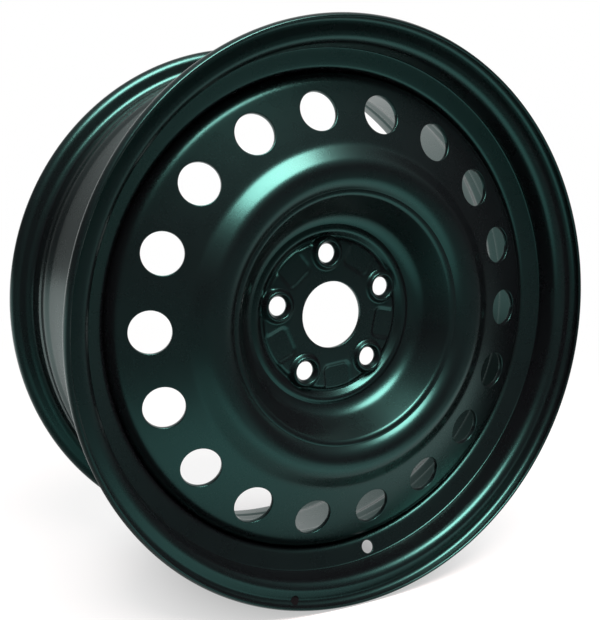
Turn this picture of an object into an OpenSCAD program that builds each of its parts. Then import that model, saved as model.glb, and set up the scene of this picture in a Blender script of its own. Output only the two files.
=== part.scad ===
// Pressed steel road wheel: a rolled rim, a stamped disc and the weld runs that join them.
// The wheel spins about Y, its outboard face looks along -Y, and the origin is its centre.
// Millimetres and degrees. Profiles are drawn as [radius, height towards the outboard side].

/* [Rim] */
// Bead seat diameter, where the seat line meets the flange face
bead_seat_d = 436.6; // [420:0.1:450]
// Width between the two flange faces
rim_width = 177.8; // [165:0.1:190]
// Sheet thickness of the rim
rim_gauge = 2.4; // [2:0.1:3]
// Height of a flange above its bead seat
flange_h = 17.3; // [16:0.1:19]
// Curl radius of a flange on its tyre side
flange_curl_r = 7.5; // [6.5:0.1:9]
// How far the lip turns down past the crest of the flange
lip_turn = 40; // [25:1:55]
// Length of the turned-down lip
lip_len = 2.7; // [2.6:0.1:4]
// Radius of the heel between a flange and its bead seat
heel_r = 6.5; // [5:0.1:7.5]
// Taper of the bead seats
seat_taper = 5; // [4:0.1:6]
// Distance from a flange face to the foot of its hump
hump_foot = 17.8; // [16:0.1:18.5]
// Run from the foot of a hump to its crest
hump_run = 3.9; // [3.5:0.1:5]
// Height of the humps above the seat line
hump_h = 1.2; // [0.8:0.1:1.6]
// Bend radius at the humps
hump_bend_r = 2.8; // [2.5:0.1:3.2]

/* [Well] */
// Depth of the well below the bead seats
well_depth = 17.9; // [17:0.1:21]
// Axial run of the steep wall between the outboard hump and the well
well_wall_run = 7.7; // [6:0.1:10]
// Width of the well between its two corners
well_w = 38.5; // [34:0.1:44]
// Bend radius at the corners of the well
well_bend_r = 6; // [4:0.1:8]
// Axial run of the ramp out of the well
ramp_run = 12.5; // [10:0.1:16]
// Rise of the ramp out of the well
ramp_rise = 6.5; // [5:0.1:8]
// Distance from the inboard flange face to the foot of the ledge
ledge_foot = 44.2; // [40:0.1:48]
// Axial run of the ledge's slope
ledge_run = 8.3; // [7:0.1:11]
// Rise of the ledge's slope
ledge_rise = 2.8; // [2:0.1:4]
// Bend radius along the inboard barrel
barrel_bend_r = 12; // [8:0.5:16]

/* [Valve hole and flange mark] */
// Diameter of the valve hole
valve_hole_d = 11.3; // [11.3:0.1:12]
// Position of the valve hole round the wheel
valve_angle = 279.5; // [0:0.5:360]
// Diameter of the drilled spot on the outboard flange
spot_d = 7; // [4:0.1:8]
// Depth of the drilled spot's cone-shaped floor
spot_depth = 0.6; // [0.3:0.1:1]
// Position of the drilled spot round the wheel
spot_angle = 256.8; // [0:0.1:360]
// How far the drilled spot turns up into the flange's curl
spot_turn = 15; // [5:1:25]

/* [Disc] */
// Sheet thickness of the disc
disc_gauge = 4; // [3.5:0.1:4.5]
// Offset of the hub face from the middle of the rim
hub_offset = 42; // [36:0.5:46]
// Width of the vent band, from the skirt to the crease at its inner edge
vent_band_w = 56.75; // [53:0.05:61]
// Slope of the vent band
vent_slope = 14.7; // [12:0.1:18]
// Width of the crown's outer flank
outer_flank_w = 14.4; // [13:0.1:16]
// Height of the crown above the crease
crown_over_crease = 9.7; // [9:0.1:11]
// Width of the top of the crown
crown_w = 8.8; // [8:0.1:11]
// Width of the crown's inner flank
inner_flank_w = 10.5; // [9:0.1:12]
// Height of the crown above the groove
crown_over_groove = 6.4; // [5.5:0.1:7]
// Width of the shelf between the groove and the top of the bowl
shelf_w = 2.1; // [1.9:0.1:4]
// Rise of that shelf
shelf_rise = 0.4; // [0.2:0.1:0.8]
// How far the corner of the vent band and the skirt stands out past the corner of the well
corner_past_well = 2.8; // [2:0.1:4]
// Bend radius from the vent band into the skirt
skirt_bend_r = 12; // [9:0.5:14]
// Length of the skirt below that corner
skirt_len = 26.3; // [22:0.1:32]
// Clearance between the skirt and the well
skirt_gap = 0.05; // [0.02:0.01:0.2]
// Bend radius of the crown
crown_bend_r = 12.5; // [10:0.5:13]
// Bend radius of the crease between the crown and the vent band
crease_bend_r = 16; // [10:0.5:20]
// Bend radius of the groove inside the crown
groove_bend_r = 2.6; // [2.4:0.1:2.8]
// Bend radius at the foot of the bowl
bowl_bend_r = 13; // [9:0.5:15]

/* [Vent holes] */
// Number of vent holes
vent_count = 18; // [16:1:20]
// Diameter of a vent hole
vent_d = 32.1; // [28:0.1:34]
// Distance from the skirt to the circle through the vent holes
vent_inset = 29.2; // [26:0.05:32]
// Position of the first vent hole round the wheel
vent_angle = 101; // [0:0.5:360]

/* [Hub] */
// Diameter of the centre bore
bore_d = 56.6; // [54:0.1:64]
// Diameter of the bolt circle
bolt_circle_d = 105; // [100:0.1:112]
// Number of bolt holes
bolt_count = 5; // [4:1:5]
// Diameter of a bolt hole
bolt_hole_d = 15.8; // [14:0.1:16.5]
// Position of the first bolt hole round the wheel
bolt_angle = 98; // [0:0.5:360]
// Height of a nut seat above the mounting ring
seat_h = 6.5; // [5:0.1:7.5]
// Diameter of the rim of a nut seat
seat_top_d = 23.6; // [23:0.1:25]
// Diameter of the foot of a nut seat
seat_foot_d = 31.5; // [30:0.1:33]
// Diameter of a nut seat's cone at its mouth
seat_cone_d = 20.6; // [20:0.1:22]
// Full angle of a nut seat's cone
seat_cone_angle = 60; // [55:1:90]
// Outer radius of the mounting ring
ring_out_r = 67; // [64:0.1:70]
// Run of the wall that rises from the mounting ring to the ridge round the hub
ridge_run = 5.1; // [4.5:0.1:6]
// Height of the ridge above the mounting ring
ridge_h = 5.1; // [4.5:0.1:6]
// Run of the ridge's outer slope, down to the floor of the bowl
ridge_fall_run = 3.6; // [3.4:0.1:5]
// Drop of the ridge's outer slope
ridge_fall = 1.2; // [0.8:0.1:1.4]
// Width of the bowl's floor, from the ridge to the foot of the bowl's wall
floor_w = 11.1; // [10:0.1:13]
// Width of the mounting ring outside the pads
ring_w = 4.5; // [4.2:0.1:6]
// Length of a pad between two nut seats, along the radius
pad_w = 20; // [18:0.1:22]
// Width of a pad across the radius
pad_len = 26; // [22:0.5:28]
// Corner radius of a pad
pad_corner_r = 4; // [3:0.5:6]
// Drop from the middle of the hub to the pads, and from the pads to the mounting ring
step_h = 1.2; // [0.8:0.1:1.4]
// Width of the slope from the middle of the hub to the mounting ring
step_w = 2.4; // [2.2:0.1:3]
// Bend radius at that slope
step_bend_r = 2.6; // [2.5:0.1:3]
// Bend radius at the ridge and at its foot
ridge_bend_r = 3; // [2.6:0.1:3.2]

/* [Weld] */
// Number of weld runs
weld_count = 8; // [4:1:12]
// Length of a weld run round the wheel
weld_arc = 28; // [15:1:29]
// Leg of the fillet weld
weld_leg = 3.4; // [2.5:0.1:3.5]
// How far the weld's face bulges
weld_bulge = 0.5; // [0.2:0.1:0.8]
// Position of the first weld run round the wheel
weld_angle = 10; // [0:0.5:360]

/* [Hidden] */

// Finish and resolution
paint = [0.055, 0.065, 0.065];
$fn = 180;
hole_fn = 48;
arc_step = 9;
past = 1;

// Rim levels
half_w = rim_width / 2;
hump_crest = hump_foot + hump_run;
seat_r = bead_seat_d / 2;
curl_mid_r = flange_curl_r - rim_gauge / 2;
flange_mid_z = half_w + rim_gauge / 2;
crest_mid_r = seat_r + flange_h - rim_gauge / 2;
lip_bend_z = flange_mid_z + curl_mid_r * (1 + tan(lip_turn / 2));
well_mid_r = seat_r - well_depth - rim_gauge / 2;
well_in_r = well_mid_r - rim_gauge / 2;
hump_mid_r = seat_mid_r(half_w - hump_crest) + hump_h;
hump_back = 2 * hump_crest - hump_foot;
well_out_z = half_w - hump_crest - well_wall_run;
well_back_z = well_out_z - well_w;
ramp_top_r = well_mid_r + ramp_rise;
ledge_z = ledge_foot - half_w;
ledge_top_r = seat_mid_r(half_w - hump_crest);
wall_drop = hump_mid_r - well_mid_r;
wall_tilt = atan2(wall_drop, well_wall_run);
curl_r = seat_r + flange_h - flange_curl_r;
curl_z = half_w + flange_curl_r;
curl_in_r = flange_curl_r - rim_gauge;

// Disc levels, on the middle of the sheet
ring_z = hub_offset + disc_gauge / 2;
pad_z = ring_z + step_h;
centre_z = pad_z + step_h;
ridge_z = ring_z + ridge_h;
floor_z = ridge_z - ridge_fall;
skirt_mid_r = well_in_r - skirt_gap - disc_gauge / 2;
corner_z = well_out_z + corner_past_well;
crease_r = skirt_mid_r - vent_band_w;
crown_out_r = crease_r - outer_flank_w;
crown_in_r = crown_out_r - crown_w;
groove_r = crown_in_r - inner_flank_w;
bowl_top_r = groove_r - shelf_w;
ridge_r = ring_out_r + ridge_run;
floor_r = ridge_r + ridge_fall_run;
bowl_foot_r = floor_r + floor_w;
pad_out_r = ring_out_r - ring_w;
pad_in_r = pad_out_r - pad_w;
crease_z = corner_z + vent_band_w * tan(vent_slope);
crown_z = crease_z + crown_over_crease;
groove_z = crown_z - crown_over_groove;
skirt_end_z = corner_z - skirt_len;
vent_r = skirt_mid_r - vent_inset;
vent_z = corner_z + vent_inset * tan(vent_slope);

// Radius of the middle of the sheet along a bead seat
function seat_mid_r(z) = seat_r - rim_gauge / 2 / cos(seat_taper) - (half_w - z) * tan(seat_taper);

function unit(v) = v / norm(v);
function left_of(v) = [-v[1], v[0]];
function turned(v, a) = [v[0] * cos(a) - v[1] * sin(a), v[0] * sin(a) + v[1] * cos(a)];
function reversed(list) = [for (i = [len(list) - 1 : -1 : 0]) list[i]];

// One bend of a sheet: the arc round corner b, shifted to one side of the sheet's middle
function bend(a, b, c, shift) =
    let (
        u = unit([b[0] - a[0], b[1] - a[1]]),
        w = unit([c[0] - b[0], c[1] - b[1]]),
        turn = atan2(u[0] * w[1] - u[1] * w[0], u * w),
        side = sign(turn),
        start = [b[0], b[1]] - u * b[2] * tan(abs(turn) / 2),
        centre = start + left_of(u) * side * b[2],
        spoke = left_of(u) * (shift - side * b[2]),
        steps = max(1, ceil(abs(turn) / arc_step))
    )
    [for (i = [0 : steps]) centre + turned(spoke, turn * i / steps)];

// One face of a sheet that follows a path of [radius, height, bend radius]
function face(path, shift) =
    let (
        n = len(path) - 1,
        first = unit([path[1][0] - path[0][0], path[1][1] - path[0][1]]),
        last = unit([path[n][0] - path[n - 1][0], path[n][1] - path[n - 1][1]])
    )
    [
        [path[0][0], path[0][1]] + left_of(first) * shift,
        for (i = [1 : n - 1]) each bend(path[i - 1], path[i], path[i + 1], shift),
        [path[n][0], path[n][1]] + left_of(last) * shift
    ];

// Round edge of a sheet beyond the end of its path
function round_edge(path, t) =
    let (
        n = len(path) - 1,
        along = unit([path[n][0] - path[n - 1][0], path[n][1] - path[n - 1][1]]),
        steps = 6
    )
    [for (i = [1 : steps - 1])
        [path[n][0], path[n][1]] + turned(left_of(along), -180 * i / steps) * t / 2];

// Section of a sheet of thickness t along a path, with square or rounded edges
module sheet(path, t, rounded = false)
    polygon(concat(
        face(path, t / 2),
        rounded ? round_edge(path, t) : [],
        reversed(face(path, -t / 2)),
        rounded ? round_edge(reversed(path), t) : []
    ));

// Flange, bead seat and hump of one side, from the lip inwards
function bead_path(side) = [
    [crest_mid_r - lip_len * sin(lip_turn), side * (lip_bend_z + lip_len * cos(lip_turn)), 0],
    [crest_mid_r, side * lip_bend_z, curl_mid_r],
    [crest_mid_r, side * flange_mid_z, curl_mid_r],
    [seat_mid_r(flange_mid_z), side * flange_mid_z, heel_r + rim_gauge / 2],
    [seat_mid_r(half_w - hump_foot), side * (half_w - hump_foot), hump_bend_r],
    [hump_mid_r, side * (half_w - hump_crest), hump_bend_r]
];

rim_path = concat(
    bead_path(1),
    [
        [well_mid_r, well_out_z, well_bend_r],
        [well_mid_r, well_back_z, well_bend_r],
        [ramp_top_r, well_back_z - ramp_run, barrel_bend_r],
        [ledge_top_r - ledge_rise, ledge_z, barrel_bend_r],
        [ledge_top_r, ledge_z - ledge_run, barrel_bend_r],
        [ledge_top_r, hump_back - half_w, hump_bend_r]
    ],
    reversed(bead_path(-1))
);

disc_path = [
    [bore_d / 2, centre_z, 0],
    [pad_out_r - step_w / 2, centre_z, step_bend_r],
    [pad_out_r + step_w / 2, ring_z, step_bend_r],
    [ring_out_r, ring_z, ridge_bend_r],
    [ridge_r, ridge_z, ridge_bend_r],
    [floor_r, floor_z, ridge_bend_r],
    [bowl_foot_r, floor_z, bowl_bend_r],
    [bowl_top_r, groove_z - shelf_rise, groove_bend_r],
    [groove_r, groove_z, groove_bend_r],
    [crown_in_r, crown_z, crown_bend_r],
    [crown_out_r, crown_z, crown_bend_r],
    [crease_r, crease_z, crease_bend_r],
    [skirt_mid_r, corner_z, skirt_bend_r],
    [skirt_mid_r, skirt_end_z, 0]
];

// Turns the spin axis from Z to Y, with the outboard side at -Y
module on_axle() rotate([90, 0, 0]) children();

// Places children at a radius and height, at one position round the wheel
module at(angle, r, z) rotate(angle) translate([r, 0, z]) children();

module rim() color(paint) on_axle()
    difference() {
        rotate_extrude() sheet(rim_path, rim_gauge, rounded = true);
        valve_hole();
        flange_spot();
    }

// Hole square to the steep wall of the well, halfway down it
module valve_hole()
    at(valve_angle, (hump_mid_r + well_mid_r) / 2, well_out_z + well_wall_run / 2)
        rotate([0, wall_tilt - 90, 0])
            cylinder(d = valve_hole_d, h = well_wall_run * 2, center = true, $fn = hole_fn);

// Shallow drilled spot with a cone-shaped floor, square to the curl of the outboard flange
module flange_spot()
    at(spot_angle, curl_r, curl_z)
        rotate([0, 180 - spot_turn, 0]) {
            cylinder(d = spot_d, h = curl_in_r, $fn = hole_fn);
            translate([0, 0, curl_in_r])
                cylinder(d1 = spot_d, d2 = 0, h = spot_depth, $fn = hole_fn);
        }

module disc() color(paint) on_axle()
    difference() {
        union() {
            difference() {
                rotate_extrude() sheet(disc_path, disc_gauge);
                for (i = [0 : bolt_count - 1])
                    at(bolt_angle + (i + 0.5) * 360 / bolt_count, pad_in_r, pad_z + disc_gauge / 2)
                        linear_extrude(2 * step_h) pad_outline(pad_w + step_w);
            }
            for (i = [0 : bolt_count - 1]) {
                at(bolt_angle + (i + 0.5) * 360 / bolt_count, pad_in_r, pad_z - disc_gauge / 2)
                    linear_extrude(disc_gauge / 2) pad_outline(pad_w);
                at(bolt_angle + i * 360 / bolt_count, bolt_circle_d / 2, ring_z) nut_seat();
            }
        }
        for (i = [0 : bolt_count - 1])
            at(bolt_angle + i * 360 / bolt_count, bolt_circle_d / 2, ring_z) nut_seat_hollow();
        for (i = [0 : vent_count - 1])
            at(vent_angle + i * 360 / vent_count, vent_r, vent_z) vent_hole();
    }

// Outline of a pad pressed into the hub face, from its straight inner edge outwards
module pad_outline(reach) {
    side = pad_len / 2 - pad_corner_r;
    translate([pad_corner_r, -pad_len / 2]) square([reach - pad_corner_r, pad_len]);
    translate([0, -side]) square([pad_corner_r + past, 2 * side]);
    for (y = [-side, side])
        translate([pad_corner_r, y]) circle(pad_corner_r, $fn = hole_fn);
}

// Raised nut seat, rooted in the sheet of the hub face
module nut_seat() {
    root_z = disc_gauge / 4;
    translate([0, 0, root_z])
        cylinder(d1 = seat_foot_d, d2 = seat_top_d, h = disc_gauge / 2 + seat_h - root_z, $fn = hole_fn);
}

// What is pressed and drilled out of a nut seat: its back, its hole and its cone
module nut_seat_hollow() {
    top_z = disc_gauge / 2 + seat_h;
    back_z = -disc_gauge / 2;
    cone_h = (seat_cone_d - bolt_hole_d) / 2 / tan(seat_cone_angle / 2);
    back_top_z = top_z - cone_h - disc_gauge / 2;
    translate([0, 0, back_z - past])
        cylinder(d = bolt_hole_d, h = top_z - back_z + 2 * past, $fn = hole_fn);
    translate([0, 0, top_z - cone_h])
        cylinder(d1 = bolt_hole_d, d2 = seat_cone_d, h = cone_h, $fn = hole_fn);
    translate([0, 0, top_z])
        cylinder(d = seat_cone_d, h = past, $fn = hole_fn);
    translate([0, 0, back_z])
        cylinder(d1 = seat_top_d, d2 = bolt_hole_d + disc_gauge / 2, h = back_top_z - back_z, $fn = hole_fn);
    translate([0, 0, back_z - past])
        cylinder(d = seat_top_d, h = past, $fn = hole_fn);
}

// Round hole square to the vent band
module vent_hole()
    rotate([0, vent_slope, 0])
        cylinder(d = vent_d, h = disc_gauge * 3, center = true, $fn = hole_fn);

module weld_beads() color(paint) on_axle()
    for (i = [0 : weld_count - 1])
        rotate(weld_angle + i * 360 / weld_count)
            rotate_extrude(angle = weld_arc) weld_section();

// Fillet weld in the corner between the end of the skirt and the well, with a bulging face
module weld_section() {
    corner = [well_in_r, skirt_end_z];
    toe_out = corner - [weld_leg, 0];
    toe_in = corner - [0, weld_leg];
    steps = 4;
    polygon([
        corner,
        for (i = [0 : steps])
            toe_out + (toe_in - toe_out) * i / steps
                - [1, 1] / sqrt(2) * weld_bulge * sin(180 * i / steps)
    ]);
}

rim();
disc();
weld_beads();
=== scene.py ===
import bpy
import bmesh
import math
from mathutils import Matrix, Vector


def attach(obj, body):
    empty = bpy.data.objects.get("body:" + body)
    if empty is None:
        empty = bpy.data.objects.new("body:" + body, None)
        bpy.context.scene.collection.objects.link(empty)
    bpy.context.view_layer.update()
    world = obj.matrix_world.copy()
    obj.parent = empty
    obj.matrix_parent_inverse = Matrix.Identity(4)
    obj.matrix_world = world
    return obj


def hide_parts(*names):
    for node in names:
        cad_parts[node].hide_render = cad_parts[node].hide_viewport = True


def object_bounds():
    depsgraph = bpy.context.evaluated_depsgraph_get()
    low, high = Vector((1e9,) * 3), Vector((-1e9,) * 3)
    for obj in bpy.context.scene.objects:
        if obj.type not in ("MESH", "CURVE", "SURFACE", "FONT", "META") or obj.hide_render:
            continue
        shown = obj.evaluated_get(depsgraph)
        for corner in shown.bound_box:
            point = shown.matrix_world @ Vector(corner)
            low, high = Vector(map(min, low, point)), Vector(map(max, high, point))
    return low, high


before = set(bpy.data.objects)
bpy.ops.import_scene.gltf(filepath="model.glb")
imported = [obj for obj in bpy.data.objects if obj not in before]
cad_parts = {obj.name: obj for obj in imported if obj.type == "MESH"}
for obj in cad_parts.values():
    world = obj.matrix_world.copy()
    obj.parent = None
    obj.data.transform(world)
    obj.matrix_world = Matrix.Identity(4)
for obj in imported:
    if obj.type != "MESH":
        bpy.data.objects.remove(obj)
cadLow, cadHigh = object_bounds()  # the CAD box, before anything is replaced
spinAxis = Vector((0, 1, 0))  # the wheel spins about Y, its outboard face looks along -Y
print("frame loaded:", sorted(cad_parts))


def toObjectMode():
    if bpy.context.object and bpy.context.object.mode != "OBJECT":
        bpy.ops.object.mode_set(mode="OBJECT")


def deselectAll():
    toObjectMode()
    bpy.ops.object.select_all(action="DESELECT")


def selectOnly(piece):
    deselectAll()
    piece.select_set(True)
    bpy.context.view_layer.objects.active = piece


def editOnly(piece):
    selectOnly(piece)
    bpy.ops.object.mode_set(mode="EDIT")


def pick(piece, kind, test):  # selects what passes the test, and says how many did
    bpy.ops.mesh.select_mode(type=kind)
    bpy.ops.mesh.select_all(action="DESELECT")
    cage = bmesh.from_edit_mesh(piece.data)
    items = {"VERT": cage.verts, "EDGE": cage.edges, "FACE": cage.faces}[kind]
    chosen = [item for item in items if test(item)]
    for item in chosen:
        item.select_set(True)
    cage.select_flush_mode()
    bmesh.update_edit_mesh(piece.data)
    return len(chosen)


def applyModifier(piece, kind, **settings):
    selectOnly(piece)
    made = piece.modifiers.new(kind.title(), kind)
    for key, value in settings.items():
        setattr(made, key, value)
    bpy.ops.object.modifier_apply(modifier=made.name)


def thicken(piece, gauge):  # half to each side of the sheet
    applyModifier(piece, "SOLIDIFY", thickness=gauge, offset=0,
                  use_even_offset=True, use_quality_normals=True)


def drawLine(name, corners):  # a wire through the corners, in the XY plane
    deselectAll()
    bpy.ops.mesh.primitive_plane_add(size=0.01, location=(0, 0, 0))
    piece = bpy.context.object
    piece.name = piece.data.name = name
    bpy.ops.object.mode_set(mode="EDIT")
    bpy.ops.mesh.select_mode(type="VERT")
    bpy.ops.mesh.select_all(action="SELECT")
    bpy.ops.mesh.merge(type="CENTER")
    bpy.ops.transform.translate(value=corners[0][:2] + (0,))
    for a, b in zip(corners, corners[1:]):
        bpy.ops.mesh.extrude_vertices_move(TRANSFORM_OT_translate={"value": (b[0] - a[0], b[1] - a[1], 0)})
    return piece


sameSpot = 1e-6  # metres
leastTurn = 0.01  # radians, a corner that turns less stays as it is


def roundCorners(piece, corners, arcStep):  # each corner is (radius, y, bend radius), arcStep is in degrees
    for before, corner, after in zip(corners, corners[1:], corners[2:]):
        if corner[2] <= 0:
            continue
        here = Vector((corner[0], corner[1], 0))
        turn = (here - Vector((before[0], before[1], 0))).angle(Vector((after[0], after[1], 0)) - here)
        if turn < leastTurn:
            continue
        pick(piece, "VERT", lambda v: (v.co - here).length < sameSpot)
        bpy.ops.mesh.bevel(
            offset=corner[2] * math.tan(turn / 2),
            affect="VERTICES",
            segments=max(2, math.ceil(math.degrees(turn) / arcStep)),
            profile=(1 - math.tan(turn / 4) / math.sin(turn / 2) / 2) ** 2,  # keeps the arc round at any turn
        )


def shortenEdges(piece, longest):  # longest is a function of an edge's middle
    def cutsFor(edge):
        middle = (edge.verts[0].co + edge.verts[1].co) / 2
        return math.ceil(edge.calc_length() / longest(middle)) - 1

    cuts = {cutsFor(edge) for edge in bmesh.from_edit_mesh(piece.data).edges}
    for count in sorted(cuts - {0}, reverse=True):
        if pick(piece, "EDGE", lambda e: cutsFor(e) == count):
            bpy.ops.mesh.subdivide(number_cuts=count)


def faceOutward():
    bpy.ops.mesh.select_all(action="SELECT")
    bpy.ops.mesh.normals_make_consistent(inside=False)


def spinRound(steps, turn=math.tau):
    bpy.ops.mesh.select_mode(type="VERT")
    bpy.ops.mesh.select_all(action="SELECT")
    bpy.ops.mesh.spin(steps=steps, angle=turn, center=(0, 0, 0), axis=spinAxis)
    bpy.ops.mesh.select_all(action="SELECT")
    bpy.ops.mesh.remove_doubles(threshold=2 * sameSpot)
    faceOutward()


def isSharp(edge, least=1.2):  # least is the fold between the two faces, in radians
    return len(edge.link_faces) == 2 and edge.calc_face_angle(0) > least


def roundEdges(size, segments, clamp=True):  # of the edges that are picked
    bpy.ops.mesh.bevel(offset=size, segments=segments, profile=0.5, affect="EDGES", clamp_overlap=clamp)


def fromAxis(point, centre, axis):  # distance from an axis through centre
    arm = point - centre
    return (arm - axis * arm.dot(axis)).length


def clearFaces(piece, centre, axis, reach, depth):
    pick(piece, "FACE", lambda f: any(
        fromAxis(v.co, centre, axis) < reach and abs((v.co - centre).dot(axis)) < depth for v in f.verts))
    bpy.ops.mesh.delete(type="FACE")


def bridgeLoops(piece, centre, axis, reach, levels):  # open edges between two reaches and two levels
    found = pick(piece, "EDGE", lambda e: e.is_boundary and all(
        reach[0] < fromAxis(v.co, centre, axis) < reach[1]
        and levels[0] < (v.co - centre).dot(axis) < levels[1] for v in e.verts))
    if found:
        bpy.ops.mesh.bridge_edge_loops()


def joinInto(piece, others):
    deselectAll()
    for other in others:
        other.select_set(True)
    piece.select_set(True)
    bpy.context.view_layer.objects.active = piece
    bpy.ops.object.join()


def copyPiece(piece, name):
    selectOnly(piece)
    bpy.ops.object.duplicate(linked=False)
    bpy.context.object.name = bpy.context.object.data.name = name
    return bpy.context.object


def placePiece(piece, matrix):  # moves the mesh, and leaves the object at the origin
    selectOnly(piece)
    piece.matrix_world = matrix
    bpy.ops.object.transform_apply(location=True, rotation=True, scale=True)


def facing(centre, normal):  # a place whose local Z looks along normal
    turned = normal.to_track_quat("Z", "Y").to_matrix().to_4x4()
    turned.translation = centre
    return turned


def aroundWheel(angle, radius, outboard):  # a point at an angle round the wheel, counted from +X towards +Z
    turn = math.radians(angle)
    return Vector((radius * math.cos(turn), -outboard, radius * math.sin(turn)))


def holeCollar(radius, widths, sides):  # a flat ring round a hole, in the XY plane
    deselectAll()
    bpy.ops.mesh.primitive_circle_add(vertices=sides, radius=radius, fill_type="NOTHING")
    piece = bpy.context.object
    bpy.ops.object.mode_set(mode="EDIT")
    bpy.ops.mesh.select_mode(type="EDGE")
    bpy.ops.mesh.select_all(action="SELECT")
    size = radius
    for width in widths:
        bpy.ops.mesh.extrude_edges_move()
        bpy.ops.transform.resize(value=((size + width) / size,) * 2 + (1,))
        size += width
    toObjectMode()
    return piece


bridgeReach = 0.009  # the sheet's open edge lies within this of a hole's edge
bridgeDepth = 0.01


def cutHoles(piece, holes, radius, cut):  # holes are (centre, way through); each gets a collar on the sheet
    collar = holeCollar(radius, cut["collar"], cut["sides"])
    rings = []
    for i, (centre, way) in enumerate(holes):
        rings.append(copyPiece(collar, "holeCollar%02d" % i))
        placePiece(rings[-1], facing(centre, way))
        applyModifier(rings[-1], "SHRINKWRAP", target=piece, wrap_method="NEAREST_SURFACEPOINT")
    bpy.data.objects.remove(collar)
    editOnly(piece)
    for centre, way in holes:
        clearFaces(piece, centre, way, radius + cut["clear"], cut["depth"])
    joinInto(piece, rings)
    editOnly(piece)
    reach, levels = (radius + cut["bridge"], radius + bridgeReach), (-bridgeDepth, bridgeDepth)
    for centre, way in holes:
        bridgeLoops(piece, centre, way, reach, levels)
    faceOutward()


# the rolled rim

rimForm = {
    "beadSeat": 0.4366,
    "width": 0.1778,  # between the flange faces
    "gauge": 0.0024,
    "flangeHeight": 0.0173,
    "curlRadius": 0.0075,
    "lipTurn": 40,
    "lipLength": 0.0027,
    "heelRadius": 0.0065,
    "seatTaper": 5,
    "humpFoot": 0.0178,
    "humpRun": 0.0039,
    "humpHeight": 0.0012,
    "humpBend": 0.0028,
    "wellDepth": 0.0179,
    "wellWallRun": 0.0077,
    "wellWidth": 0.0385,
    "wellBend": 0.006,
    "rampRun": 0.0125,
    "rampRise": 0.0065,
    "ledgeFoot": 0.0442,
    "ledgeRun": 0.0083,
    "ledgeRise": 0.0028,
    "barrelBend": 0.012,
    "valveHole": 0.0113,
    "valveAngle": 279.5,
    "valveCut": {"collar": (0.0006, 0.0009), "sides": 40, "clear": 0.0021, "depth": 0.008, "bridge": 0.0004},
    "spotSize": 0.007,
    "spotDepth": 0.0006,
    "spotAngle": 256.8,
    "spotTurn": 15,
    "spotSides": 40,
    "lipRound": 0.00112,
    "holeRound": 0.0003,
    "holeEdge": 0.001,  # the valve hole's edges lie within this of its radius
    "holeFold": 1.0,  # radians, least fold of those edges
    "arcStep": 10,
    "longest": 0.004,
    "steps": 288,
    "smoothAngle": 30,
}

halfWidth = rimForm["width"] / 2
seatRadius = rimForm["beadSeat"] / 2
rimHalf = rimForm["gauge"] / 2
wellRadius = seatRadius - rimForm["wellDepth"] - rimHalf  # middle of the sheet, as all the corners are
humpCrest = halfWidth - rimForm["humpFoot"] - rimForm["humpRun"]
wellCorner = humpCrest - rimForm["wellWallRun"]


def seatLine(outboard):
    taper = math.radians(rimForm["seatTaper"])
    return seatRadius - rimHalf / math.cos(taper) - (halfWidth - outboard) * math.tan(taper)


def flangeCorners(side):  # lip, flange, bead seat and hump of one side, as (radius, y, bend radius)
    curl = rimForm["curlRadius"] - rimHalf
    crest = seatRadius + rimForm["flangeHeight"] - rimHalf
    turn = math.radians(rimForm["lipTurn"])
    flange = halfWidth + rimHalf
    humpFoot = halfWidth - rimForm["humpFoot"]
    lipBend = flange + curl * (1 + math.tan(turn / 2))
    lip = rimForm["lipLength"] + rimHalf  # the round edge reaches half the gauge past the line
    return [
        (crest - lip * math.sin(turn), -side * (lipBend + lip * math.cos(turn)), 0),
        (crest, -side * lipBend, curl),
        (crest, -side * flange, curl),
        (seatLine(flange), -side * flange, rimForm["heelRadius"] + rimHalf),
        (seatLine(humpFoot), -side * humpFoot, rimForm["humpBend"]),
        (seatLine(humpCrest) + rimForm["humpHeight"], -side * humpCrest, rimForm["humpBend"]),
    ]


# the drilled spot is square to the curl: the curl's centre, and the way that the drill went
spotCentre = aroundWheel(
    rimForm["spotAngle"],
    seatRadius + rimForm["flangeHeight"] - rimForm["curlRadius"],
    halfWidth + rimForm["curlRadius"],
)
spotWay = aroundWheel(rimForm["spotAngle"], math.sin(math.radians(rimForm["spotTurn"])), 0)
spotWay += spinAxis * math.cos(math.radians(rimForm["spotTurn"]))


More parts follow.
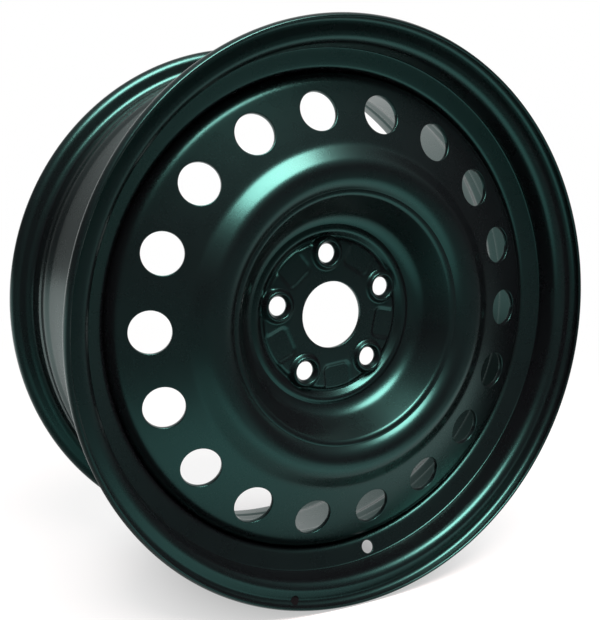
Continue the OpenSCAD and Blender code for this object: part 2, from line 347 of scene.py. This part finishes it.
def makeRim():
    ledgeTop = seatLine(humpCrest)
    wellBack = wellCorner - rimForm["wellWidth"]
    ledge = rimForm["ledgeFoot"] - halfWidth
    humpBack = humpCrest - rimForm["humpRun"]
    corners = flangeCorners(1) + [
        (wellRadius, -wellCorner, rimForm["wellBend"]),
        (wellRadius, -wellBack, rimForm["wellBend"]),
        (wellRadius + rimForm["rampRise"], -(wellBack - rimForm["rampRun"]), rimForm["barrelBend"]),
        (ledgeTop - rimForm["ledgeRise"], -ledge, rimForm["barrelBend"]),
        (ledgeTop, -(ledge - rimForm["ledgeRun"]), rimForm["barrelBend"]),
        (ledgeTop, humpBack, rimForm["humpBend"]),
    ] + flangeCorners(-1)[::-1]
    piece = drawLine("rimRing", corners)
    roundCorners(piece, corners, rimForm["arcStep"])
    shortenEdges(piece, lambda middle: rimForm["longest"])
    spinRound(rimForm["steps"])
    toObjectMode()

    # valve hole, square to the steep wall of the well and halfway down it
    wallTop = seatLine(humpCrest) + rimForm["humpHeight"]
    hole = aroundWheel(rimForm["valveAngle"], (wallTop + wellRadius) / 2, (humpCrest + wellCorner) / 2)
    outward = Vector((hole.x, 0, hole.z)).normalized()
    wall = (outward * (wallTop - wellRadius) - spinAxis * rimForm["wellWallRun"]).normalized()
    square = wall.cross(spinAxis.cross(outward)).normalized()
    radius = rimForm["valveHole"] / 2
    cutHoles(piece, [(hole, square)], radius, rimForm["valveCut"])
    thicken(piece, rimForm["gauge"])

    # rounded edges: the two lips, then the valve hole
    editOnly(piece)
    pick(piece, "EDGE", lambda e: isSharp(e) and all(
        Vector((v.co.x, 0, v.co.z)).length > seatRadius for v in e.verts))
    roundEdges(rimForm["lipRound"], segments=4, clamp=False)
    pick(piece, "EDGE", lambda e: isSharp(e, rimForm["holeFold"]) and all(
        fromAxis(v.co, hole, square) < radius + rimForm["holeEdge"] for v in e.verts))
    roundEdges(rimForm["holeRound"], segments=2)
    toObjectMode()

    # drilled spot with a cone-shaped floor, square to the curl of the outboard flange
    reach = rimForm["curlRadius"] - rimForm["gauge"]
    deselectAll()
    bpy.ops.mesh.primitive_cylinder_add(vertices=rimForm["spotSides"], radius=rimForm["spotSize"] / 2,
                                        depth=reach, location=(0, 0, reach / 2))
    drill = bpy.context.object
    bpy.ops.object.transform_apply(location=True)
    editOnly(drill)
    pick(drill, "FACE", lambda f: f.normal.z > 0.9)  # the far end
    bpy.ops.mesh.poke(offset=rimForm["spotDepth"])
    toObjectMode()
    placePiece(drill, facing(spotCentre, spotWay))
    applyModifier(piece, "BOOLEAN", operation="DIFFERENCE", object=drill, solver="EXACT")
    bpy.data.objects.remove(drill)
    return piece


# the stamped disc

discForm = {
    "gauge": 0.004,
    "hubOffset": 0.042,
    "bore": 0.0566,
    "boreEdge": 0.0067,  # the bore's edges lie within this of its radius
    "ringOut": 0.067,
    "ringWidth": 0.0045,
    "padReach": 0.02,  # along the radius
    "padWidth": 0.026,
    "padCorner": 0.005,
    "padEdge": 0.0038,  # width of the slope round a pad
    "padMerge": 0.00015,  # corners left by the pads' cuts become one when they lie closer than this
    "stepRise": 0.0012,
    "stepRun": 0.0024,
    "stepBend": 0.0026,
    "ridgeRun": 0.0051,
    "ridgeHeight": 0.0051,
    "ridgeFallRun": 0.0042,
    "ridgeFall": 0.0012,
    "ridgeBend": 0.003,
    "floorWidth": 0.0091,
    "floorRise": 0.0026,
    "gutterBend": 0.0026,
    "bowlBend": 0.021,
    "shelfWidth": 0.0036,
    "shelfFall": 0.0005,
    "shelfBend": 0.0034,
    "grooveBend": 0.0024,
    "innerFlank": 0.0065,
    "overGroove": 0.007,
    "innerBend": 0.016,
    "crownWidth": 0.0135,
    "outerBend": 0.0135,
    "outerFlank": 0.0135,
    "overCrease": 0.0091,
    "creaseBend": 0.016,
    "ventBand": 0.05675,
    "ventSlope": 14.7,
    "ventCount": 18,
    "ventSize": 0.0321,
    "ventInset": 0.0292,
    "ventAngle": 101,
    "ventCut": {"collar": (0.0008, 0.0012), "sides": 64, "clear": 0.0028, "depth": 0.01, "bridge": 0.0006},
    "cornerPastWell": 0.0028,
    "skirtBend": 0.012,
    "skirtLength": 0.0263,
    "skirtGap": 0.00005,
    "edgeRound": 0.0005,
    "arcStep": 7,
    "longest": 0.0035,
    "longestInHub": 0.0017,
    "steps": 240,
    "smoothAngle": 30,
}

nutSeat = {
    "count": 5,
    "circle": 0.105,
    "angle": 98,
    "hole": 0.0158,
    "height": 0.0065,  # above the mounting ring
    "topSize": 0.0236,
    "topBend": 0.0013,
    "footSize": 0.0305,
    "footReach": 0.0163,
    "footBend": 0.0042,
    "coneSize": 0.0206,
    "coneAngle": 60,
    "coneBend": 0.0008,
    "landBend": 0.0003,
    "backBend": 0.0006,
    "backFootBend": 0.0012,
    "backInset": 0.003,  # behind, the seat's outer edge is this much nearer the hole
    "backDrop": 0.001,
    "blendEnd": 0.0004,  # the foot starts and ends to follow the sheet this far from its two ends
    "backBlendEnd": 0.0034,
    "clear": 0.0005,
    "clearDepth": 0.012,
    "bridgeOut": 0.024,
    "frontBridge": {"inset": 0.001, "levels": (-0.006, 0.0008)},
    "backBridge": {"inset": 0.004, "levels": (-0.0002, 0.007)},
    "arcStep": 15,
    "longest": 0.0016,
    "steps": 56,
}

skirtRadius = wellRadius - rimHalf - discForm["skirtGap"] - discForm["gauge"] / 2
cornerLevel = wellCorner + discForm["cornerPastWell"]
ventSlope = math.radians(discForm["ventSlope"])
creaseRadius = skirtRadius - discForm["ventBand"]
creaseLevel = cornerLevel + discForm["ventBand"] * math.tan(ventSlope)
crownLevel = creaseLevel + discForm["overCrease"]
grooveLevel = crownLevel - discForm["overGroove"]
ringLevel = discForm["hubOffset"] + discForm["gauge"] / 2
padOut = discForm["ringOut"] - discForm["ringWidth"]
centreLevel = ringLevel + 2 * discForm["stepRise"]


def discCorners():
    half, step = discForm["stepRun"] / 2, discForm["stepBend"]
    ridge, ridgeLevel = discForm["ringOut"] + discForm["ridgeRun"], ringLevel + discForm["ridgeHeight"]
    floor, floorLevel = ridge + discForm["ridgeFallRun"], ridgeLevel - discForm["ridgeFall"]
    crownOut = creaseRadius - discForm["outerFlank"]
    crownIn = crownOut - discForm["crownWidth"]
    groove = crownIn - discForm["innerFlank"]
    return [
        (discForm["bore"] / 2, -centreLevel, 0),
        (padOut - half, -centreLevel, step),
        (padOut + half, -ringLevel, step),
        (discForm["ringOut"], -ringLevel, discForm["ridgeBend"]),
        (ridge, -ridgeLevel, discForm["ridgeBend"]),
        (floor, -floorLevel, discForm["gutterBend"]),
        (floor + discForm["floorWidth"], -floorLevel - discForm["floorRise"], discForm["bowlBend"]),
        (groove - discForm["shelfWidth"], -grooveLevel - discForm["shelfFall"], discForm["shelfBend"]),
        (groove, -grooveLevel, discForm["grooveBend"]),
        (crownIn, -crownLevel, discForm["innerBend"]),
        (crownOut, -crownLevel, discForm["outerBend"]),
        (creaseRadius, -creaseLevel, discForm["creaseBend"]),
        (skirtRadius, -cornerLevel, discForm["skirtBend"]),
        (skirtRadius, discForm["skirtLength"] - cornerLevel, 0),
    ]


def smooth(value, low, high):
    share = min(max((value - low) / (high - low), 0), 1)
    return share * share * (3 - 2 * share)


def weigh(piece, name, weight):  # a vertex group, by a function of a vertex's place
    toObjectMode()
    group = piece.vertex_groups.new(name=name)
    for vertex in piece.data.vertices:
        share = weight(vertex.co)
        if share > 0:
            group.add([vertex.index], share, "REPLACE")


def pressPads(piece):  # pads between the nut seats, lower than the centre, each with a straight inner edge
    inner, half, edge = padOut - discForm["padReach"], discForm["padWidth"] / 2, discForm["padEdge"] / 2
    corner, rise, margin = discForm["padCorner"], discForm["stepRise"], 3 * edge
    pads = [nutSeat["angle"] + 360 * (i + 0.5) / nutSeat["count"] for i in range(nutSeat["count"])]
    editOnly(piece)
    for angle in pads:
        outward, across = aroundWheel(angle, 1, 0), aroundWheel(angle + 90, 1, 0)
        for way, place in ((outward, inner), (across, half), (across, -half)):
            for shift in (-edge, 0, edge):
                pick(piece, "FACE", lambda f: inner - margin < f.calc_center_median().dot(outward) < padOut
                     and abs(f.calc_center_median().dot(across)) < half + margin)
                bpy.ops.mesh.bisect(plane_co=way * (place + shift), plane_no=way)
    bpy.ops.mesh.select_all(action="SELECT")
    bpy.ops.mesh.remove_doubles(threshold=discForm["padMerge"])

    def share(point):
        if math.hypot(point.x, point.z) > padOut + discForm["stepRun"]:
            return 0
        deepest = 0
        for angle in pads:
            along = point.dot(aroundWheel(angle, 1, 0)) - inner
            aside = half - abs(point.dot(aroundWheel(angle + 90, 1, 0)))
            inside = min(along, aside)
            if max(along, aside) < corner:
                inside = corner - math.hypot(corner - along, corner - aside)
            deepest = max(deepest, smooth(inside, -edge, edge))
        return deepest * min(max((centreLevel - rise + point.y) / -rise, 0), 1)

    weigh(piece, "pads", share)
    applyModifier(piece, "DISPLACE", direction="Y", strength=rise, mid_level=0, vertex_group="pads")


def makeNutSeat():  # one nut seat about Y at the origin, y = 0 on the front of the mounting ring
    hole, mouth, top = nutSeat["hole"] / 2, nutSeat["coneSize"] / 2, nutSeat["topSize"] / 2
    coneDepth = (mouth - hole) / math.tan(math.radians(nutSeat["coneAngle"] / 2))
    gauge, face = discForm["gauge"], -2 * discForm["stepRise"]
    landEnd = coneDepth + gauge / 2 - nutSeat["height"]
    corners = [
        (nutSeat["footReach"], face, 0),
        (nutSeat["footSize"] / 2, face, nutSeat["footBend"]),
        (top, -nutSeat["height"], nutSeat["topBend"]),
        (mouth, -nutSeat["height"], nutSeat["coneBend"]),
        (hole, coneDepth - nutSeat["height"], nutSeat["coneBend"]),
        (hole, landEnd, nutSeat["landBend"]),
        (hole + gauge / 4, landEnd, nutSeat["backBend"]),
        (top, gauge + face, nutSeat["backFootBend"]),
        (nutSeat["footReach"] - nutSeat["backInset"], gauge + face + nutSeat["backDrop"], 0),
    ]
    piece = drawLine("nutSeat", corners)
    roundCorners(piece, corners, nutSeat["arcStep"])
    shortenEdges(piece, lambda middle: nutSeat["longest"])
    spinRound(nutSeat["steps"])

    def share(point):  # how far a point of the foot follows the sheet
        front = point.y < 0
        start = top + nutSeat["blendEnd"] if front else top
        end = nutSeat["footReach"] - nutSeat["blendEnd" if front else "backBlendEnd"]
        return smooth(math.hypot(point.x, point.z), start, end)

    weigh(piece, "foot", share)
    return piece


def makeDisc():
    corners = discCorners()
    piece = drawLine("stampedDisc", corners)
    roundCorners(piece, corners, discForm["arcStep"])
    shortenEdges(piece, lambda middle: discForm["longestInHub" if middle.x < padOut else "longest"])
    spinRound(discForm["steps"])
    pressPads(piece)
    print("disc sheet:", len(piece.data.polygons), "faces")

    # vent holes, square to the vent band
    ventRadius = skirtRadius - discForm["ventInset"]
    ventLevel = cornerLevel + discForm["ventInset"] * math.tan(ventSlope)
    vents = []
    for i in range(discForm["ventCount"]):
        spot = aroundWheel(discForm["ventAngle"] + 360 * i / discForm["ventCount"], ventRadius, ventLevel)
        outward = Vector((spot.x, 0, spot.z)).normalized()
        vents.append((spot, outward * math.sin(ventSlope) - spinAxis * math.cos(ventSlope)))
    cutHoles(piece, vents, discForm["ventSize"] / 2, discForm["ventCut"])
    thicken(piece, discForm["gauge"])
    print("disc vents:", len(vents))

    # rounded edges of the vents, the bore and the skirt
    boreReach = discForm["bore"] / 2 + discForm["boreEdge"]
    editOnly(piece)
    pick(piece, "EDGE", lambda e: isSharp(e)
         and not boreReach < math.hypot(e.verts[0].co.x, e.verts[0].co.z) < creaseRadius)
    roundEdges(discForm["edgeRound"], segments=3)
    toObjectMode()

    # nut seats, set into the hub face in front and behind
    seat = makeNutSeat()
    seats = []
    for i in range(nutSeat["count"]):
        angle = nutSeat["angle"] + 360 * i / nutSeat["count"]
        spot = aroundWheel(angle, nutSeat["circle"] / 2, ringLevel + discForm["gauge"] / 2)
        copy = copyPiece(seat, "nutSeat%d" % i)
        placePiece(copy, Matrix.Translation(spot) @ Matrix.Rotation(-math.radians(angle), 4, "Y"))
        applyModifier(copy, "SHRINKWRAP", target=piece, wrap_method="PROJECT", vertex_group="foot",
                      use_project_y=True, use_negative_direction=True, use_positive_direction=True)
        seats.append((copy, spot))
    bpy.data.objects.remove(seat)
    editOnly(piece)
    for copy, spot in seats:
        clearFaces(piece, spot, spinAxis, nutSeat["footReach"] + nutSeat["clear"], nutSeat["clearDepth"])
    joinInto(piece, [item[0] for item in seats])
    editOnly(piece)
    for copy, spot in seats:
        for side in ("frontBridge", "backBridge"):
            reach = (nutSeat["footReach"] - nutSeat[side]["inset"], nutSeat["bridgeOut"])
            bridgeLoops(piece, spot, spinAxis, reach, nutSeat[side]["levels"])
    faceOutward()
    toObjectMode()
    print("disc nut seats:", len(seats))
    return piece


# the weld runs between the skirt and the well

weldForm = {
    "count": 8,
    "arc": 28,
    "angle": 10,
    "leg": 0.0034,
    "bulge": 0.0005,
    "facets": 6,  # across the face of a run
    "ripple": 0.00022,
    "endSteps": 5,  # a run grows to its full size over these
    "endSize": 0.45,
    "slack": 0.1,  # degrees, to find the corners of one step
    "steps": 54,
    "smoothAngle": 40,
}


def makeWelds():
    corner = (wellRadius - rimHalf, discForm["skirtLength"] - cornerLevel)
    leg, bulge, steps, facets = (weldForm[key] for key in ("leg", "bulge", "steps", "facets"))
    section = [corner]
    for i in range(facets + 1):
        share, swell = i / facets, bulge * math.sin(math.pi * i / facets) / math.sqrt(2)
        section.append((corner[0] - leg * (1 - share) - swell, corner[1] + leg * share + swell))
    run = drawLine("weldRuns", section)
    bpy.ops.mesh.select_all(action="SELECT")
    bpy.ops.mesh.edge_face_add()
    bpy.ops.mesh.delete(type="ONLY_FACE")
    spinRound(steps, math.radians(weldForm["arc"]))
    pick(run, "EDGE", lambda e: e.is_boundary)
    bpy.ops.mesh.edge_face_add()
    bpy.ops.mesh.normals_make_consistent(inside=False)

    # each run starts and ends thin, and its face is rippled
    def turnOf(point):
        return abs(math.degrees(math.atan2(point.z, point.x)))

    for i in range(steps + 1):
        angle = weldForm["arc"] * i / steps
        grown = smooth(min(i, steps - i) / weldForm["endSteps"], 0, 1)
        size = weldForm["endSize"] + (1 - weldForm["endSize"]) * grown
        size *= 1 - weldForm["ripple"] / leg * (i % 2)
        pick(run, "VERT", lambda v: abs(turnOf(v.co) - angle) < weldForm["slack"])
        middle = aroundWheel(angle, corner[0], -corner[1])
        bpy.ops.transform.resize(value=(size, size, size), center_override=middle)
    toObjectMode()
    copies = []
    for i in range(weldForm["count"]):
        angle = weldForm["angle"] + 360 * i / weldForm["count"]
        copies.append(copyPiece(run, "weldRun%d" % i))
        placePiece(copies[-1], Matrix.Rotation(-math.radians(angle), 4, "Y"))
    bpy.data.objects.remove(run)
    copies[0].name = copies[0].data.name = "weldRuns"
    joinInto(copies[0], copies[1:])
    return copies[0]


class Wire:  # a shader socket that can be used in sums
    def __init__(self, tree, socket=None):
        self.tree, self.socket = tree, socket

    def node(self, kind, settings=None, inputs=None, out=0):  # a tuple as out gives one wire for each
        made = self.tree.nodes.new(kind)
        for key, value in (settings or {}).items():
            setattr(made, key, value)
        for key, value in (inputs or {}).items():
            if isinstance(value, Wire):
                self.tree.links.new(value.socket, made.inputs[key])
            else:
                made.inputs[key].default_value = value
        if isinstance(out, tuple):
            return [Wire(self.tree, made.outputs[key]) for key in out]
        return Wire(self.tree, made.outputs[out] if made.outputs else None)

    def math(self, operation, a, b=0.0):
        return self.node("ShaderNodeMath", {"operation": operation}, {0: a, 1: b})

    def __add__(self, other):
        return self.math("ADD", self, other)

    def __radd__(self, other):
        return self.math("ADD", other, self)

    def __sub__(self, other):
        return self.math("SUBTRACT", self, other)

    def __rsub__(self, other):
        return self.math("SUBTRACT", other, self)

    def __mul__(self, other):
        return self.math("MULTIPLY", self, other)

    def __rmul__(self, other):
        return self.math("MULTIPLY", other, self)

    def __pow__(self, other):
        return self.math("POWER", self, other)


def newMaterial(name):
    material = bpy.data.materials.new(name)
    material.use_nodes = True
    material.node_tree.nodes.clear()
    return material, Wire(material.node_tree)


def noise(wire, place, scale, detail, roughness=0.5):
    return wire.node("ShaderNodeTexNoise", None, {
        "Vector": place, "Scale": scale, "Detail": detail, "Roughness": roughness})


def smoothStep(wire, value, low, high):
    return wire.node("ShaderNodeMapRange", {"interpolation_type": "SMOOTHSTEP"}, {
        "Value": value, "From Min": low, "From Max": high})


def splitPlace(wire, place):
    return wire.node("ShaderNodeSeparateXYZ", None, {0: place}, out=(0, 1, 2))


# satin black paint, one mix for each piece

satinBlack = {
    "colour": (0.0019, 0.0016, 0.0022, 1),
    "worn": (0.0029, 0.0027, 0.0035, 1),
    "tint": (0.3, 1.0, 0.9, 1),
    "specular": 0.5,
    "roughness": 0.275,
    "mottle": 0.05,  # how far the roughness strays
    "mottleScale": 34.0,
    "mottleWear": 0.6,
    "dustScale": 460.0,
    "speckRange": (0.58, 0.74),  # dust shows as specks between these
    "speckWear": 0.35,
    "speckRough": 0.03,
    "peelScale": 620,
    "peelDepth": 0.000004,
    "lineScale": 0,  # faint lines from rolling, round the wheel
    "lineDepth": 0,
    "spot": 0,  # bare and dull within this reach of the drilled spot's axis
    "bareRoughness": 0.8,
    "bareSpecular": 0.1,
}
rimPaint = {**satinBlack, "lineScale": 1500, "lineDepth": 0.0000015, "spot": 0.0036}
discPaint = {**satinBlack}
weldPaint = {**satinBlack, "mottle": 0.07, "peelScale": 900, "peelDepth": 0.00002}


def makePaint(name, look):
    material, wire = newMaterial(name)
    place = wire.node("ShaderNodeTexCoord", out="Object")
    mottle = noise(wire, place, look["mottleScale"], 4.0, 0.6)
    specks = smoothStep(wire, noise(wire, place, look["dustScale"], 3.0, 0.7), *look["speckRange"])
    height = noise(wire, place, look["peelScale"], 2.0, 0.45) * look["peelDepth"]
    if look["lineScale"]:
        x, y, z = splitPlace(wire, place)
        strips = wire.node("ShaderNodeCombineXYZ", None, {0: (x * x + z * z) ** 0.5, 1: y})
        height = height + noise(wire, strips, look["lineScale"], 2.0) * look["lineDepth"]
    bump = wire.node("ShaderNodeBump", None, {"Strength": 1.0, "Distance": 1.0, "Height": height})
    wear = mottle * look["mottleWear"] + specks * look["speckWear"]
    colour = wire.node("ShaderNodeMix", {"data_type": "RGBA"}, {
        "Factor": wear, 6: look["colour"], 7: look["worn"]}, out=2)
    skin = wire.node("ShaderNodeBsdfPrincipled", None, {
        "Base Color": colour,
        "Roughness": look["roughness"] + (mottle - 0.5) * look["mottle"] + specks * look["speckRough"],
        "Specular IOR Level": look["specular"],
        "Specular Tint": look["tint"],
        "Normal": bump,
    })
    if look["spot"]:
        arm = wire.node("ShaderNodeVectorMath", {"operation": "SUBTRACT"}, {0: place, 1: spotCentre})
        along = wire.node("ShaderNodeVectorMath", {"operation": "DOT_PRODUCT"}, {0: arm, 1: spotWay}, out=1)
        reach = wire.node("ShaderNodeVectorMath", {"operation": "LENGTH"}, {0: arm}, out=1)
        aside = (reach * reach - along * along) ** 0.5
        drilled = wire.math("LESS_THAN", aside, look["spot"]) * wire.math("GREATER_THAN", along, 0.0)
        dull = wire.node("ShaderNodeBsdfPrincipled", None, {
            "Base Color": look["colour"],
            "Roughness": look["bareRoughness"],
            "Specular IOR Level": look["bareSpecular"],
        })
        skin = wire.node("ShaderNodeMixShader", None, {0: drilled, 1: skin, 2: dull})
    wire.node("ShaderNodeOutputMaterial", None, {"Surface": skin})
    return material


def finishPiece(piece, node, material, smoothAngle):
    selectOnly(piece)
    bpy.ops.object.shade_smooth_by_angle(angle=math.radians(smoothAngle))
    piece.data.materials.clear()
    piece.data.materials.append(material)
    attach(piece, "root")
    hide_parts(node)


rimRing = makeRim()
finishPiece(rimRing, "rim", makePaint("rimPaint", rimPaint), rimForm["smoothAngle"])
print("rim ring:", len(rimRing.data.polygons), "faces")
stampedDisc = makeDisc()
finishPiece(stampedDisc, "disc", makePaint("discPaint", discPaint), discForm["smoothAngle"])
print("stamped disc:", len(stampedDisc.data.polygons), "faces")
weldRuns = makeWelds()
finishPiece(weldRuns, "weld_beads", makePaint("weldPaint", weldPaint), weldForm["smoothAngle"])
print("weld runs:", len(weldRuns.data.polygons), "faces")


# the studio: camera, lamps, floor and background

shot = {
    "azimuth": -28.83,
    "elevation": 7.53,
    "roll": 1.55,
    "aim": Vector((0, -0.0964, 0)),  # on the spin axis, level with the crest of the outboard lip
    "distance": 0.66988,
    "right": 0.05014,
    "up": -0.01011,
    "lens": 49.07,
    "sensor": 36,
    "nearest": 0.01,
}


def wayFrom(azimuth, elevation):  # from the wheel outwards, in degrees; (0, 0) is along -Y
    across, rise = math.radians(azimuth), math.radians(elevation)
    return Vector((math.sin(across) * math.cos(rise), -math.cos(across) * math.cos(rise), math.sin(rise)))


def makeCamera():
    roll = math.radians(shot["roll"])
    back = wayFrom(shot["azimuth"], shot["elevation"])
    level = Vector((0, 0, 1)).cross(back).normalized()
    upright = back.cross(level)
    right = level * math.cos(roll) + upright * math.sin(roll)
    up = upright * math.cos(roll) - level * math.sin(roll)
    spot = shot["aim"] - right * shot["right"] - up * shot["up"] + back * shot["distance"]
    deselectAll()
    bpy.ops.object.camera_add(location=spot)
    camera = bpy.context.object
    camera.name = "photoCamera"
    camera.data.lens = shot["lens"]
    camera.data.sensor_fit = "AUTO"
    camera.data.sensor_width = shot["sensor"]
    camera.matrix_world = Matrix.Translation(spot) @ Matrix((right, up, back)).transposed().to_4x4()
    camera.data.clip_start = shot["nearest"]
    bpy.context.scene.camera = camera


lampColour = (1, 0.84, 0.81)
lamps = {  # name: (azimuth, elevation, distance, width, height, roll, watts)
    "overheadBox": (-16, 60, 1.9, 1.4, 0.95, 28, 108),
    "overheadHalo": (-14, 66, 2.3, 2.6, 2.2, 28, 22),
}


def makeLamps():
    for name, (azimuth, elevation, distance, width, height, roll, watts) in lamps.items():
        away = wayFrom(azimuth, elevation)
        deselectAll()
        bpy.ops.object.light_add(type="AREA", location=shot["aim"] + away * distance)
        lamp = bpy.context.object
        lamp.name = name
        lamp.data.shape = "ELLIPSE"
        lamp.data.size, lamp.data.size_y = width, height
        lamp.data.energy = watts
        lamp.data.color = lampColour
        aimed = (-away).to_track_quat("-Z", "Y").to_matrix() @ Matrix.Rotation(math.radians(roll), 3, "Z")
        lamp.rotation_euler = aimed.to_euler()


studio = {
    "white": (1, 1, 1, 1),
    "floorSize": 40,
    "floorColour": (0.9, 0.9, 0.9, 1),
    "floorWhite": 0.86,  # how much of the floor round the wheel is plain white to the camera
    "floorFade": (0.7, 1.6),  # from here to here the floor turns plain white
    "pool": (0.2, -0.31),  # painted pool of light: in reflections the floor glows brightest here, and falls to painted shade further out and under the wheel
    "poolLight": 1.65,
    "poolReach": 0.36,
    "poolStretch": 0.38,  # the pool is wider than deep
    "paintedShadeLevel": 0.22,
    "backLight": 1.0,  # painted light: behind the wheel the floor glows bright again in reflections
    "backReach": 0.5,
    "underWheel": 0.25,  # share of the plain white left right under the wheel
    "underReach": 0.22,
    "room": 0.07,
    "ceiling": 0.45,  # more light from above
    "ceilingFade": (0.2, 1.0),
    "sight": (0.478, 0.869, -0.131),  # the way that the camera looks; reflections show a white backdrop there
    "sightFade": (0.4, 0.8),
}


def rayKinds(wire):  # whether a ray comes from the camera, from a reflection or through something clear
    return wire.node("ShaderNodeLightPath", out=("Is Camera Ray", "Is Glossy Ray", "Is Transmission Ray"))


def makeFloor():
    deselectAll()
    bpy.ops.mesh.primitive_plane_add(size=studio["floorSize"], location=(0, 0, cadLow.z))
    floor = bpy.context.object
    floor.name = "studioFloor"
    bpy.ops.object.transform_apply(location=True)
    material, wire = newMaterial("studioFloorWhite")
    camera, glossy, clear = rayKinds(wire)
    x, y, z = splitPlace(wire, wire.node("ShaderNodeTexCoord", out="Object"))
    reach = (x * x + y * y) ** 0.5
    away = smoothStep(wire, reach, *studio["floorFade"])
    # painted light and shade: in reflections the floor glows brightest in a pool in front and falls to
    # painted shade under the wheel
    aside, along = (x - studio["pool"][0]) * studio["poolStretch"], y - studio["pool"][1]
    spread = smoothStep(wire, (aside * aside + along * along) ** 0.5, 0, studio["poolReach"])
    paintedFloorGlow = studio["poolLight"] - spread * (studio["poolLight"] - studio["paintedShadeLevel"])
    paintedFloorGlow = paintedFloorGlow + smoothStep(wire, y, 0, studio["backReach"]) * studio["backLight"]
    under = smoothStep(wire, reach, 0, studio["underReach"])
    plain = studio["floorWhite"] + away * (1 - studio["floorWhite"])
    plain = camera * plain * (studio["underWheel"] + under * (1 - studio["underWheel"]))
    plain = plain + wire.math("MAXIMUM", glossy, clear) * (1 - camera)
    matt = wire.node("ShaderNodeBsdfDiffuse", None, {"Color": studio["floorColour"]})
    white = wire.node("ShaderNodeEmission", None, {
        "Color": studio["white"], "Strength": camera + (1 - camera) * paintedFloorGlow})
    mixed = wire.node("ShaderNodeMixShader", None, {0: plain, 1: matt, 2: white})
    wire.node("ShaderNodeOutputMaterial", None, {"Surface": mixed})
    floor.data.materials.append(material)


def makeWorld():
    world = bpy.data.worlds.new("studioWorld")
    bpy.context.scene.world = world
    world.use_nodes = True
    world.node_tree.nodes.clear()
    wire = Wire(world.node_tree)
    camera, glossy, clear = rayKinds(wire)
    way = wire.node("ShaderNodeTexCoord", out="Generated")
    behind, above = (
        wire.node("ShaderNodeVectorMath", {"operation": "DOT_PRODUCT"}, {0: way, 1: line}, out=1)
        for line in (studio["sight"], (0, 0, 1)))
    backdrop = wire.math("MAXIMUM", glossy, clear) * smoothStep(wire, behind, *studio["sightFade"])
    room = studio["room"] + smoothStep(wire, above, *studio["ceilingFade"]) * studio["ceiling"]
    around = room + backdrop * (1 - room)
    glow = wire.node("ShaderNodeBackground", None, {
        "Color": studio["white"], "Strength": camera + (1 - camera) * around})
    wire.node("ShaderNodeOutputWorld", None, {"Surface": glow})


makeCamera()
makeLamps()
makeFloor()
makeWorld()
bpy.context.scene.view_settings.view_transform = "Standard"
print("studio ready")
